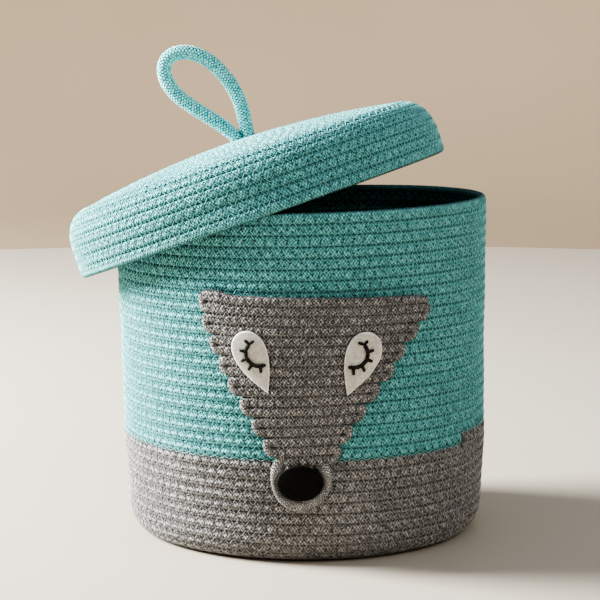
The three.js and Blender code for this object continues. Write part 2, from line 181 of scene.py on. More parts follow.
NOSE_STEPS = (0.95, 0.88, 0.78, 0.65, 0.5, 0.3)
EYE_LENGTH = 46.2
LEFT_EYE_WIDTH = 22.6
RIGHT_EYE_WIDTH = 24.2
EYE_FULLNESS = 1.15
EYE_CENTRE = 0.6
EYE_TURN = 22.0
LEFT_EYE_TIP = (-23.0, 124.5)
RIGHT_EYE_TIP = (28.7, 121.8)
LEFT_LASH = [(-34.3, 159.3), (-36.7, 154.7), (-36.2, 149.5), (-32.7, 145.1), (-28.4, 144), (-24, 144.8)]
RIGHT_LASH = [(40.3, 156.9), (42.4, 151.7), (41.6, 146.4), (37.9, 142.6), (33.8, 141.5), (29.4, 141.9)]
LEFT_TICKS = [
    (-34.3, 159.3, -37.6, 161.9), (-34.3, 159.3, -31.3, 161.5), (-36.7, 154, -41.1, 154.8),
    (-36.1, 149.2, -40.2, 147), (-32.9, 145.3, -35.4, 140.9), (-27.4, 144, -27.1, 139.4),
]
RIGHT_TICKS = [
    (40.3, 156.9, 36.2, 158.6), (40.3, 156.9, 42.8, 159.5), (42.4, 151.9, 46.9, 152.6),
    (41.7, 146.6, 45.7, 144.8), (38.3, 142.9, 40.3, 138.3), (32.6, 141.5, 32.8, 136.3),
]
EYE_SEAT = 2 * SEAT_GAP + FACE_ROPE

# Lash thread: each strand's half-width and distance from the middle, in the arc and in the lashes
LASH_ARC = (1.0, 0.55)
LASH_TICK = (0.82, 0.36)
LASH_TWIST = 4.2
LASH_PROUD = 0.85
LASH_DIVE = 0.7

# Camera, from the photograph's perspective
CAMERA_PLACE = (0.0, -1.6, 0.3888)
CAMERA_DOWN = 7.8
CAMERA_LEFT = 0.13
CAMERA_LENS = 128.9
CAMERA_SENSOR = 36
LIGHT_TARGET = (0, 0, 0.15)


def unit(vectors):
    """Each row at a length of one."""
    return vectors / np.linalg.norm(vectors, axis=1)[:, None]


def pointing(angles):
    """The directions of those angles, as pairs."""
    return np.stack([np.cos(angles), np.sin(angles)], axis=1)


def lengths_along(points):
    """How long a line is up to each of its points."""
    steps = np.linalg.norm(np.diff(points, axis=0), axis=1)
    return np.concatenate([[0], np.cumsum(steps)])


def eased(share):
    """A share from 0 to 1, with a soft start and a soft end."""
    return share * share * (3 - 2 * share)


def rounded_end(to_end, reach, least):
    """How thick a rope still is that far from its end, as a share."""
    return np.sqrt(np.clip(1 - (1 - to_end / reach).clip(0) ** 2, least, 1))


def bands(count, n):
    """The faces between rings of n points, from each ring to the next."""
    i, j = np.divmod(np.arange((count - 1) * n), n)
    k = (j + 1) % n
    return np.stack([i * n + j, i * n + k, (i + 1) * n + k, (i + 1) * n + j], axis=1)


def smooth_mesh(name, points, faces, material):
    mesh = bpy.data.meshes.new(name)
    mesh.from_pydata(points, [], faces)
    mesh.polygons.foreach_set("use_smooth", np.ones(len(mesh.polygons), bool))
    mesh.materials.append(material)
    return mesh


def placed(name, data):
    """A new object in the scene."""
    made = bpy.data.objects.new(name, data)
    bpy.context.scene.collection.objects.link(made)
    return made


class Section:
    """A half-section drawn as points of radius and height, read by the length along it."""

    def __init__(self, points, side):
        self.points = np.array(points, float)
        self.side = side
        self.lengths = lengths_along(self.points)
        self.total = self.lengths[-1]
        longer = np.pad(self.points, ((1, 1), (0, 0)), "edge")
        along = unit(longer[2:] - longer[:-2])
        self.normals = np.stack([along[:, 1], -along[:, 0]], axis=1)
        self.last = along[-1]

    def at(self, length, inset):
        """Radius and height at a length, that far beneath the rope's crest."""
        inside = np.clip(length, 0, self.total)
        over = length - inside
        for k in range(2):
            crest = np.interp(inside, self.lengths, self.points[:, k]) + over * self.last[k]
            normal = np.interp(inside, self.lengths, self.normals[:, k])
            yield crest - self.side * inset * normal


def quarter_ellipse(centre_r, centre_z, width, height, start, end, steps=16):
    angles = np.radians(np.linspace(start, end, steps + 1))
    return [(centre_r + width * math.cos(a), centre_z + height * math.sin(a)) for a in angles]


BASKET = Section(
    [
        (0, BASE_LIFT),
        (BASE_EDGE, BASE_LIFT),
        *quarter_ellipse(CORNER_RADIUS, CORNER_HEIGHT, CORNER_WIDTH, CORNER_HEIGHT - BASE_LIFT, -90, 0),
        (BODY_RADIUS, FULL_WIDTH_HEIGHT),
        (BODY_RADIUS, STRAIGHT_HEIGHT),
        (RIM_RADIUS, BASKET_HEIGHT),
    ],
    1,
)
SHOULDER_START = LID_RADIUS - SHOULDER_WIDTH
DOME = [
    (SHOULDER_START * share, LID_SKIRT + SHOULDER_RISE + DOME_RISE * (1 - share**2))
    for share in np.linspace(0, 1, 13)[:-1]
]
LID = Section(
    [
        *DOME,
        *quarter_ellipse(SHOULDER_START, LID_SKIRT, SHOULDER_WIDTH, SHOULDER_RISE, 90, 0),
        (LID_RADIUS, 0),
    ],
    -1,
)


def wobble(angle, height, phase):
    """Hand-made unevenness of a rope wall, in millimetres off its true radius."""
    return sum(size * np.sin(n * angle + height / wave + at * phase) for size, n, wave, at in UNEVEN)


def leaning(x, y, z):
    """The basket's lean: its rows shift to the left and tip down on that side."""
    lean = np.radians(LEAN_ANGLE) * z / BASKET_HEIGHT
    return np.stack([x - lean * z / 2, y, z + x * lean], axis=-1)


def around(r, z, angle, phase, share):
    """A point at a radius, a height and an angle from the front, with its share of the unevenness."""
    r = r + share * wobble(angle, z, phase)
    return r * np.sin(angle), -r * np.cos(angle), z


def place_basket(length, angle, inset):
    r, z = BASKET.at(length, inset)
    share = np.clip((length - BASE_EDGE) / UNEVEN_WITHIN, 0, 1)
    return leaning(*around(r, z, angle, BASKET_PHASE, share))


def turned_to(axis):
    """The rotation that turns +Z to the axis by the shortest way."""
    n = axis / np.linalg.norm(axis)
    cross = np.array([[0, 0, n[0]], [0, 0, n[1]], [-n[0], -n[1], 0]])
    return np.eye(3) + cross + cross @ cross / (1 + n[2])


def flare(angle, height):
    """How far the lid's lower rows give way: out over the rim, front and back, in at the low end."""
    from_front = np.mod(angle - math.radians(FLARE_TURN) + math.pi / 2, math.pi) - math.pi / 2
    front = np.cos(np.clip(from_front * FLARE_NARROWNESS, -math.pi / 2, math.pi / 2))
    outwards = RIM_FLARE * front**2 * eased(np.clip((FLARE_TOP - height) / FLARE_FADE, 0, 1))
    from_end = np.mod(angle + math.pi / 2 + math.pi, TURN) - math.pi
    inwards = LOW_END_DRAWN * np.exp(-((from_end / LOW_END_WIDTH) ** 2))
    return outwards - inwards * np.clip((LOW_END_TOP - height) / LOW_END_FADE, 0, 1)


LID_TURN = turned_to(LID_AXIS)
LID_PLACE = leaning(np.array(0.0), np.array(0.0), np.array(BASKET_HEIGHT)) + LID_SHIFT


def on_lid(points):
    return points @ LID_TURN.T + LID_PLACE


def place_lid(length, angle, inset):
    r, z = LID.at(length, inset)
    r = r + flare(angle, z)
    share = LID_UNEVEN * np.clip((length - SHOULDER_START) / UNEVEN_WITHIN, 0, 1)
    return on_lid(np.stack(around(r, z, angle, LID_PHASE, share), axis=-1))


WALL_PART = BASKET.points[2:]


def on_wall(across, height, off):
    """A point over the wall's front: arc from the front line, height, and distance off the rope's crest."""
    across, height, off = np.broadcast_arrays(across, height, off)
    angle = across / BODY_RADIUS
    r = np.interp(height, WALL_PART[:, 1], WALL_PART[:, 0]) + off
    return leaning(*around(r, height, angle, BASKET_PHASE, 1.0))


TURN_POINTS = 400


class Spiral:
    """One rope wound row on row: where its grooves lie, and how far along them a turn count is."""

    def __init__(self, place, groove, angle, start, end):
        self.place, self.groove, self.start_angle = place, groove, math.radians(angle)
        self.turns = np.linspace(start - 0.2, end + 1.2, int((end - start + 2) * TURN_POINTS))
        line = place(np.maximum(groove(self.turns), 0), self.angle(self.turns), 0)
        self.length = lengths_along(line)
        drift = sum(size * np.sin(self.length / wave + at) for size, wave, at in SEAM_DRIFT)
        self.phase = self.length / STITCH + drift

    def angle(self, turns):
        return self.start_angle - TURN * turns

    def phase_at(self, turns):
        return np.interp(turns, self.turns, self.phase)

    def length_at(self, turns):
        return np.interp(turns, self.turns, self.length)


# Each turn of a rope is a strip in its flat map: where that starts, how long it is, and its free edge
STRIP_START = 0.01
STRIP_LENGTH = 0.97
STRIP_EDGE = 0.05


class Soft:
    """Collects tubes and pads, and writes them as one mesh."""

    def __init__(self):
        self.points, self.faces, self.maps, self.count = [], [], {}, 0

    def add(self, points, faces, maps):
        points = np.asarray(points, float)
        faces = [np.asarray(f) + self.count for f in faces]
        self.points.append(points)
        self.faces.extend(faces)
        self.count += len(points)
        for name, values in maps.items():
            self.maps.setdefault(name, []).append(values)

    def tube(self, rings, along, round_it, phases=None, turns=None):
        """A closed tube through rings of points. round_it has one value more than a ring has points."""
        n, m = rings.shape[:2]
        i, j = np.divmod(np.arange((n - 1) * m), m)
        quads = bands(n, m)
        order = [(0, 0), (0, 1), (1, 1), (1, 0)]
        points = rings.reshape(-1, 3)
        caps = [np.arange(m)[::-1], (n - 1) * m + np.arange(m)]
        corners = points[quads]
        fan = np.cross(corners[:, 1] - corners[:, 0], corners[:, 2] - corners[:, 0])
        middle = points.mean(axis=0)
        if ((corners[:, 0] - middle) * fan).sum() < 0:
            quads = quads[:, ::-1]
            caps = [c[::-1] for c in caps]
            order.reverse()

        def capped(values):
            flat = values.reshape(-1, 2)
            return np.concatenate([flat, *[flat[:1]] * m, *[flat[-1:]] * m])

        pairs = [np.stack([along[i + a], round_it[j + b]], axis=1) for a, b in order]
        maps = {"rope": capped(np.stack(pairs, axis=1))}
        if phases is not None:
            both = np.stack(phases, axis=1)
            maps["seam"] = capped(np.stack([both[i + a] for a, _ in order], axis=1))
        if turns is not None:
            strip = np.floor(turns[i]) - math.floor(turns[0])
            strips = math.floor(turns[-1]) - math.floor(turns[0]) + 1
            u = np.stack([turns[i + a] - np.floor(turns[i]) for a, _ in order], axis=1) * STRIP_LENGTH
            v = [(strip + STRIP_EDGE + (1 - 2 * STRIP_EDGE) * (j + b) / m) / strips for _, b in order]
            maps["OFBake"] = capped(np.stack([u + STRIP_START, np.stack(v, axis=1)], axis=2))
        self.add(points, [*quads, *caps], maps)

    def write(self, name, material, body, slot, nodes=()):
        points = np.concatenate(self.points) * MM
        mesh = smooth_mesh(name, points.tolist(), [f.tolist() for f in self.faces], material)
        for layer, values in self.maps.items():
            made = mesh.uv_layers.new(name=layer)
            made.data.foreach_set("uv", np.concatenate(values).astype(np.float32).ravel())
        mesh.update()
        piece = placed(name, mesh)
        if body:
            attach(piece, body)
        if nodes:
            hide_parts(*nodes)
        return piece


# How far a needle hole lies from the rope's crest, as a share of the row's pitch
HOLE_PLACE = 0.5 - SEAM_REACH


def squared(values):
    """The round of a rope, pressed a little square."""
    return np.sign(values) * np.abs(values) ** (2 / ROPE_SQUARENESS)


# A rope's cross-section: its points' angles, shares of the half-width and of the thickness, and places
# round it from the crest
ANGLES = np.radians([0, 32, 62, 90, 118, 148, 180, 240, 300])
SIDE = -squared(np.cos(ANGLES))
DEPTH = (1 - squared(np.sin(ANGLES))) / 2
HALF_ROUND = 10.4
ROUND_IT = (np.append(ANGLES, TURN) - math.pi / 2) / math.pi * HALF_ROUND


def dent(phase, where, across, at):
    """How far a stitch pulls the rope in, beside its needle hole."""
    along = (np.mod(phase - where + 0.5, 1) - 0.5) * STITCH
    return DENT_DEPTH * np.exp(-((along / DENT_ALONG) ** 2) - ((across - at) / DENT_ACROSS) ** 2)


def rope_inset(thick, thin, across, pitch, low, high, dented=1):
    """How far beneath the crest a rope's points lie, with the dents of the stitches on both its sides."""
    hole = HOLE_PLACE * pitch
    pulled = dent(low[:, None], LOWER_HOLE, across, -hole) + dent(high[:, None], UPPER_HOLE, across, hole)
    return thick * ((DEPTH - 0.5) * thin + 0.5) + pulled * dented * np.sign(0.5 - DEPTH)


def coiled_rope(spiral, start, end, taper, material, name, body, slot):
    """The rope between two turn counts, as one tube. Its end thins over the taper, in turns."""
    lengths = np.arange(spiral.length_at(start + 0.5), spiral.length_at(end + 0.5), ROPE_STEP)
    turns = np.interp(lengths, spiral.length, spiral.turns) - 0.5
    low = np.maximum(spiral.groove(turns), 0)
    high = spiral.groove(turns + 1)
    share = np.clip((end - turns) / taper, ROPE_TIP, 1) if taper else np.ones_like(turns)
    high = low + (high - low) * share
    half = (high - low) / 2
    phase_low = spiral.phase_at(turns)
    phase_high = spiral.phase_at(turns + 1)
    if taper:
        phase_high = np.where(turns > end - 1, np.floor(phase_high) + 0.5, phase_high)
    across = half[:, None] * SIDE
    inset = rope_inset(WALL, np.sqrt(share)[:, None], across, ROW_PITCH, phase_low, phase_high)
    rings = spiral.place((low + half)[:, None] + across * ROW_OVERLAP, spiral.angle(turns)[:, None], inset)
    soft = Soft()
    soft.tube(rings, lengths[: len(turns)], ROUND_IT, (phase_low, phase_high), turns)
    return soft.write(f"{name}_rope", material, body, slot, [f"{name}_coil"])


# The zigzag thread: its points within one period, and how it lies on the rope and dives into the holes
STITCH_STEPS = np.array([0.14, 0.2, 0.25, 0.3, 0.36, 0.64, 0.7, 0.75, 0.8, 0.86])
THREAD_LOWEST = 0.9
THREAD_PROUD = 0.8 * THREAD
HOLE_REACH = 0.98
THREAD_SLACK = 1.4


def triangle(phase):
    """A zigzag from -1 to 1 whose peak is at a quarter of the period."""
    return 1 - 4 * np.abs(np.mod(phase - 0.25 + 0.5, 1) - 0.5)


def thread_inset(reach, half, wide):
    """How deep the thread's middle lies: on the rope's dented round, across the groove, and in the holes."""
    reach = np.abs(reach)
    across = np.clip(1 - reach * 2 * wide, 0, 1)
    round_it = WALL / 2 * (1 - (1 - across**ROPE_SQUARENESS) ** (1 / ROPE_SQUARENESS))
    dented = dent(reach / 4, LOWER_HOLE, (1 - reach) * 2 * half * wide, 0)
    lying = np.minimum(round_it + dented, THREAD_LOWEST) - THREAD_PROUD
    return np.where(reach > HOLE_REACH, HOLE_DEPTH, lying)


def seam(spiral, start, end, side, material, name, body, slot, narrow_until):
    """The zigzag thread that joins the rows, kept narrow where it would reach onto the other colour."""
    sides = 3
    first = math.ceil(spiral.phase_at(start))
    last = math.floor(spiral.phase_at(end))
    phase = (np.arange(first, last)[:, None] + STITCH_STEPS[None, :]).ravel()
    turns = np.interp(phase, spiral.phase, spiral.turns)
    reach = triangle(phase)
    pitch = spiral.groove(turns + 1) - spiral.groove(turns)
    wide = np.where(turns < narrow_until, COLOUR_SEAM_REACH, SEAM_REACH)
    length = spiral.groove(turns) + reach * wide * pitch
    inset = thread_inset(reach, pitch / 2, wide)
    deep = WALL - inset if side == "inner" else inset
    line = spiral.place(length, spiral.angle(turns), deep)
    out = spiral.place(length, spiral.angle(turns), deep - 1) - line
    soft = Soft()
    rings = tube_rings(line, out, THREAD, THREAD, sides, math.pi / 2)
    along = phase * STITCH * THREAD_SLACK
    soft.tube(rings, along, np.linspace(0, 3, sides + 1), None, turns)
    return soft.write(f"{name}_{side}_stitches", material, body, slot)


def tube_rings(line, out, width, height, sides, first=0.0):
    """Rings round a line. out points away from what the tube lies on; height is measured that way."""
    along = unit(np.gradient(line, axis=0))
    out = unit(out - (out * along).sum(axis=1)[:, None] * along)
    across = np.cross(along, out)
    angles = first + TURN * np.arange(sides) / sides
    width, height = np.broadcast_to(width, len(line)), np.broadcast_to(height, len(line))
    sideways = across[:, None, :] * (width[:, None] * np.cos(angles))[:, :, None]
    upwards = out[:, None, :] * (height[:, None] * np.sin(angles))[:, :, None]
    return line[:, None, :] + sideways + upwards


def place_loop(points):
    """From the loop's own upright plane to where it stands on the lid."""
    return on_lid(points + [0, 0, LOOP_SEAT])


def evenly(points, step):
    """Points at even steps along a line."""
    length = lengths_along(points)
    at = np.linspace(0, length[-1], max(int(length[-1] / step) + 1, 2))
    return np.stack([np.interp(at, length, points[:, k]) for k in range(points.shape[1])], axis=1), at


def smooth_curve(points, steps):
    """A smooth curve through the points."""
    points = np.array(points, float)
    ends = [2 * points[:1] - points[1:2], points, 2 * points[-1:] - points[-2:-1]]
    p = np.concatenate(ends)
    t = (np.arange(steps) / steps)[None, :, None]
    a, b, c, d = (p[k : len(p) - 3 + k][:, None, :] for k in range(4))
    curve = 0.5 * (2 * b + (c - a) * t + (2 * a - 5 * b + 4 * c - d) * t**2 + (3 * b - 3 * c + d - a) * t**3)
    return np.concatenate([curve.reshape(-1, points.shape[1]), points[-1:]])


# The body and the lid: five runs of rope and the threads that sew them
COLOUR_LENGTH = np.interp(COLOUR_HEIGHT, WALL_PART[:, 1], BASKET.lengths[2:])
FRONT_TURN = COLOUR_ANGLE / 360
UPPER_ROWS = round((BASKET.total - COLOUR_LENGTH) / ROW_PITCH)
UPPER_PITCH = (BASKET.total - COLOUR_LENGTH) / (UPPER_ROWS + FRONT_TURN)
RIM_END = UPPER_ROWS - 1 + (COLOUR_ANGLE - RIM_END_ANGLE) / 360
WOUND_START = -COLOUR_LENGTH / ROW_PITCH
BASE_END = (BASE_EDGE + CORNER_RADIUS) / 2
LID_END = math.floor(LID.total / ROW_PITCH)
TAPER = 30 / 360
COIL_EYE = 0.8
FIRST_STITCH = 1.4


def basket_groove(turns):
    return COLOUR_LENGTH + turns * np.where(turns < 0, ROW_PITCH, UPPER_PITCH)


def lid_groove(turns):
    return ROW_PITCH * turns


def body_and_lid():
    body = Spiral(place_basket, basket_groove, COLOUR_ANGLE, WOUND_START - 1, RIM_END + 1)
    lid = Spiral(place_lid, lid_groove, LID_END_ANGLE, -1, LID_END + 1)
    base_turn = (BASE_END - COLOUR_LENGTH) / ROW_PITCH
    crown_turn = SHOULDER_START / ROW_PITCH
    grey = (GREY_ROPE, GREY_THREAD, "grey_rope")
    teal = (TEAL_ROPE, TEAL_THREAD, "teal_rope")
    runs = [
        ("base", body, WOUND_START - COIL_EYE, base_turn, 0, grey, "basket"),
        ("lower_wall", body, base_turn, 0, 0, grey, "basket"),
        ("upper_wall", body, 0, RIM_END, TAPER, teal, "basket"),
        ("lid_crown", lid, -COIL_EYE, crown_turn, 0, teal, "lid"),
        ("lid_skirt", lid, crown_turn, LID_END, TAPER, teal, "lid"),
    ]
    for name, spiral, start, end, taper, (rope, thread, slot), rides in runs:
        coiled_rope(spiral, start, end, taper, rope, name, rides, slot)
        first = max(start, spiral.turns[0] + FIRST_STITCH)
        narrow_until = 1 if name == "upper_wall" else -math.inf
        for side in ("outer", "inner"):
            seam(spiral, first, end, side, thread, name, rides, slot, narrow_until)


# The face panel: one rope laid to and fro. How far down each groove between its rows lies.
PANEL_LEVELS = PANEL_PITCH * np.arange(PANEL_ROWS + 1)


def panel_height(across, down):
    """Height on the wall. The upper edge sags a little and rises to the left corner; the rows fan out."""
    corner = eased(np.clip((PANEL_CORNER - across) / PANEL_EDGE_FADE, 0, 1))
    edge = PANEL_EDGE_SAG + PANEL_CORNER_LIFT * corner
    tilt = np.radians(PANEL_TILT + PANEL_TILT_CHANGE * down / PANEL_LEVELS[-1])
    return PANEL_TOP - down - across * np.tan(tilt) + edge * np.clip(1 - down / PANEL_EDGE_FADE, 0, 1)


def panel_turn(row):
    """How far across the turn at a row's end reaches, below that row."""
    return RIGHT_TURNS[row // 2] if row % 2 else -LEFT_TURNS[row // 2]


def panel_slant(row):
    """How far the panel's edge moves inwards per millimetre down, at a row's turn."""
    last = min(row + 2, PANEL_ROWS - 2 - (PANEL_ROWS - row) % 2)
    first = max(last - 2, row % 2)
    fall = abs(panel_turn(first)) - abs(panel_turn(last))
    return fall / (PANEL_LEVELS[last] - PANEL_LEVELS[first])


def turn_shape(row):
    """A turn's outer edge: how far above its pivot and how far out from it."""
    a = np.linspace(0, math.pi, 17)
    rise = TURN_FULLNESS * PANEL_PITCH * np.sign(np.cos(a)) * np.abs(np.cos(a)) ** TURN_SQUARENESS
    reach = TURN_REACH * np.abs(np.sin(a)) ** TURN_SQUARENESS
    return rise, reach + TURN_LEAN * panel_slant(row) * rise


def panel_pivot(row):
    """How far across the point lies that the rope turns about after a row."""
    return panel_turn(row) - math.copysign(turn_shape(row)[1].max(), panel_turn(row))


def panel_phase(groove, across):
    """Where in its zigzag a groove's thread is. Each starts by hand, and wanders a little."""
    return across / PANEL_STITCH + 0.37 * groove + 0.12 * np.sin(across / 17 + 2 * groove)


def edge_pair(side, outer, inner, row, straight):
    """One step of the panel rope: its right-hand edge, its left-hand edge, its row, and 1 if straight."""
    right, left = (outer, inner) if side < 0 else (inner, outer)
    return [*right, *left, row, straight]


def panel_course():
    """The panel rope's edges along its way, each as across and down."""
    course = []
    steps = 8
    for k in range(steps + 1):
        a = math.pi / 2 * k / steps
        across = FIRST_ROW_END - ROW_END_ROUND * (1 - math.cos(a))
        top = PANEL_LEVELS[1] * ROW_END_DROP * (1 - math.sin(a))
        course.append(edge_pair(-1, (across, top), (across, PANEL_LEVELS[1]), 0, k // steps))
    for row in range(PANEL_ROWS):
        side = -1 if row % 2 == 0 else 1
        top, middle = PANEL_LEVELS[row], PANEL_LEVELS[row + 1]
        if row == PANEL_ROWS - 1:
            course.append(edge_pair(side, (-LAST_ROW_END, top), (-LAST_ROW_END, middle), row, 1))
            break
        pivot = panel_pivot(row)
        course.append(edge_pair(side, (pivot, top), (pivot, middle), row, 1))
        for rise, out in zip(*turn_shape(row)):
            course.append(edge_pair(side, (pivot + side * out, middle - rise), (pivot, middle), row, 0))
        back = pivot + side * out
        course.append(edge_pair(side, (back, PANEL_LEVELS[row + 2]), (back, middle), row + 1, 1))
    return np.array(course)


def panel_rope():
    course = panel_course()
    length = lengths_along((course[:, 0:2] + course[:, 2:4]) / 2)
    at = np.linspace(0, length[-1], int(length[-1] / PANEL_ROPE_STEP))
    even_steps = np.stack([np.interp(at, length, column) for column in course.T], axis=1)
    low_edge, high_edge = even_steps[:, 0:2], even_steps[:, 2:4]
    across = (low_edge[:, 0] + high_edge[:, 0]) / 2
    row = course[np.searchsorted(length, at, side="right").clip(1, len(length) - 1), 4]
    in_turn = even_steps[:, 5] < 0.99
    even = row % 2 == 0
    above, below = panel_phase(row, across), panel_phase(row + 1, across)
    low = np.where(even, above, below + 0.5)
    high = np.where(even, below, above + 0.5)
    low = np.where(in_turn, np.floor(low) + 0.5, low)
    high = np.where(in_turn, np.floor(high) + 0.5, high)
    thin = rounded_end(np.minimum(at, at[-1] - at), 4, 0.02)[:, None]
    wide = SIDE[None, :] * PANEL_PITCH / 2
    inset = rope_inset(FACE_ROPE, thin, wide, PANEL_PITCH, low, high, ~in_turn[:, None])
    overlap = np.where(in_turn, TURN_OVERLAP, ROW_OVERLAP)[:, None]
    share = 0.5 + 0.5 * SIDE * overlap * thin
    spot = low_edge[:, None, :] + share[:, :, None] * (high_edge - low_edge)[:, None, :]
    height = panel_height(spot[:, :, 0], spot[:, :, 1])
    rings = on_wall(spot[:, :, 0], height, SEAT_GAP + FACE_ROPE - inset)
    soft = Soft()
    soft.tube(rings, at, ROUND_IT, (low, high), at / PANEL_STRIP)
    return soft.write("face_panel_rope", GREY_ROPE, "basket", "grey_rope", ["face_panel"])


def panel_seams():
    soft = Soft()
    for groove in range(1, PANEL_ROWS):
        here = panel_pivot(groove - 1)
        others = [panel_pivot(groove - 2) if groove > 1 else FIRST_ROW_END - ROW_END_ROUND]
        others.append(panel_pivot(groove) if groove < PANEL_ROWS - 1 else -LAST_ROW_END)
        ends = sorted([here, min(others, key=abs)])
        across = np.linspace(*ends, 4000)
        phases = panel_phase(groove, across)
        first, last = math.ceil(phases[0] * 2) / 2, math.floor(phases[-1] * 2) / 2
        base = np.arange(math.floor(first), math.ceil(last))
        phase = (base[:, None] + STITCH_STEPS[None, :]).ravel()
        phase = phase[(phase >= first) & (phase <= last)]
        at = np.interp(phase, phases, across)
        reach = triangle(phase)
        down = PANEL_LEVELS[groove] + reach * SEAM_REACH * PANEL_PITCH
        off = SEAT_GAP + FACE_ROPE - thread_inset(reach, PANEL_PITCH / 2, SEAM_REACH)
        line = on_wall(at, panel_height(at, down), off)
        out = on_wall(at, panel_height(at, down), off + 1) - line
        rings = tube_rings(line, out, PANEL_THREAD, PANEL_THREAD, 4)
        soft.tube(rings, phase * PANEL_STITCH * THREAD_SLACK, np.linspace(0, 3, 5))
    return soft.write("face_panel_stitches", PANEL_YARN, "basket", "grey_rope")


def snout():
    """A coil of rope whose outer turn stands higher, as a ring round the nose."""
    turns = np.linspace(0, SNOUT_TURNS, 360)
    left = SNOUT_TURNS - turns
    beyond = left - RING_TURNS - RING_STEP
    steps = np.where(beyond < 0, eased(np.clip(1 + beyond / RING_STEP, 0, 1)), 1 + beyond)
    inward = SNOUT_ROPE / 2 + steps * SNOUT_ROPE * SNOUT_PACKED
    angle = TURN * (turns + SNOUT_START)
    raised = 1 - np.clip(steps, 0, 1)
    turned = pointing(angle)
    coil = SNOUT + np.maximum(SNOUT_HALF - inward[:, None], 0.6) * turned
    outer = SNOUT + SNOUT_HALF * turned
    ring = (outer + NOSE + NOSE_HALF * turned) / 2
    points = coil + (ring - coil) * raised[:, None]
    across, height = points.T
    run = unit(np.gradient(points, axis=0))
    normal = np.stack([-run[:, 1], run[:, 0]], axis=1)
    thin = rounded_end(np.minimum(turns, left), 1 / 12, 0.02)
    ring_half = np.linalg.norm(outer - ring, axis=1)
    wide = SIDE * ((SNOUT_ROPE / 2 * (1 - raised) + ring_half * raised) * thin)[:, None]
    thick = SNOUT_ROPE - GROOVE_DEPTH * (1 - raised)
    under = np.clip((height - panel_height(across, PANEL_LEVELS[-1]) + 2) / 4, 0, 1)
    thick = thick + (SNOUT_UNDER_PANEL - thick) * eased(under)
    middle = SEAT_GAP + thick / 2
    off = middle[:, None] + (0.5 - DEPTH) * (thick * thin)[:, None]
    rings = on_wall(across[:, None] + wide * normal[:, :1], height[:, None] + wide * normal[:, 1:], off)
    length = lengths_along(on_wall(across, height, middle))
    none = np.full(len(turns), 0.5)
    soft = Soft()
    soft.tube(rings, length, ROUND_IT, (none, none), turns)
    return soft.write("snout_rope", SNOUT_CORD, "basket", "grey_rope", ["snout_coil"])


def pad(name, outline, centre, rings, material, slot, node):
    """A felt pad on the wall. Its rings are pairs of share from the centre and distance off the wall."""
    n = len(outline)
    soft = Soft()
    points = []
    for share, off in rings:
        spot = centre + (outline - centre) * share
        across, height = spot.T
        uneven = 0.12 * np.sin(across / 3.1 + height / 4.3) + 0.09 * np.sin(height / 1.9)
        points.append(on_wall(across, height, off + uneven))
    first = on_wall(*centre, rings[0][1])
    last = on_wall(*centre, rings[-1][1])
    faces = list(bands(len(rings), n))
    top = n * (len(rings) - 1)
    for j in range(n):
        i = (j + 1) % n
        faces.append([i, j, top + n])
        faces.append([top + j, top + i, top + n + 1])
    # Each corner's share of the way from the centre, which the felt reads for its lighter, partly painted,
    # cut edge
    shares = np.array([*np.repeat([share for share, _ in rings], n), 0, 0])
    corners = np.concatenate([shares[face] for face in faces])
    maps = {"rope": np.stack([corners, corners * 0], axis=1)}
    soft.add(np.concatenate([*points, first[None], last[None]]), faces, maps)
    return soft.write(name, material, "basket", slot, [node])


def eye(tip, side, width, which):
    t = TURN * (np.arange(72) + 0.5) / 72
    along = EYE_LENGTH * (1 - np.cos(t)) / 2
    across = np.sin(t) * np.sin(t / 2) ** EYE_FULLNESS
    across = across / across.max() * width / 2
    turn = math.radians(EYE_TURN) * side
    upwards = np.array([math.sin(turn), math.cos(turn)])
    sideways = np.array([math.cos(turn), -math.sin(turn)])
    outline = tip + across[:, None] * sideways + along[:, None] * upwards
    centre = tip + EYE_CENTRE * EYE_LENGTH * upwards
    edge = [(0.3, 0), (0.7, 0), (0.96, 0), (0.995, 0.5), (1.0, FELT / 2), (0.99, FELT - 0.4)]
    face = [(0.955, FELT - 0.05), (0.88, FELT), (0.7, FELT + 0.1), (0.5, FELT + 0.1), (0.25, FELT)]
    rings = [(share, EYE_SEAT + off) for share, off in edge + face]
    made = pad(f"{which}_eye_felt", outline, centre, rings, WHITE_FELT, "white_felt", f"eye_felt_{which}")
    turned = np.roll(outline, -1, axis=0)
    area = abs((outline[:, 0] * turned[:, 1] - outline[:, 1] * turned[:, 0]).sum()) / 2 * MM * MM


def nose():
    outline = NOSE + NOSE_HALF * pointing(TURN * np.arange(64) / 64)
    seat = 2 * SEAT_GAP + SNOUT_ROPE
    edge = [(0.4, 0), (0.85, 0), (0.975, 0.2), (1.0, FELT / 2), (0.985, FELT - 0.35)]
    dome = [(share, FELT + NOSE_RISE * (1 - (share - 0.1) ** 2)) for share in NOSE_STEPS]
    rings = [(share, seat + off) for share, off in edge + dome]
    made = pad("nose_felt", outline, NOSE, rings, BLACK_FELT, "black_felt", "nose_pad")


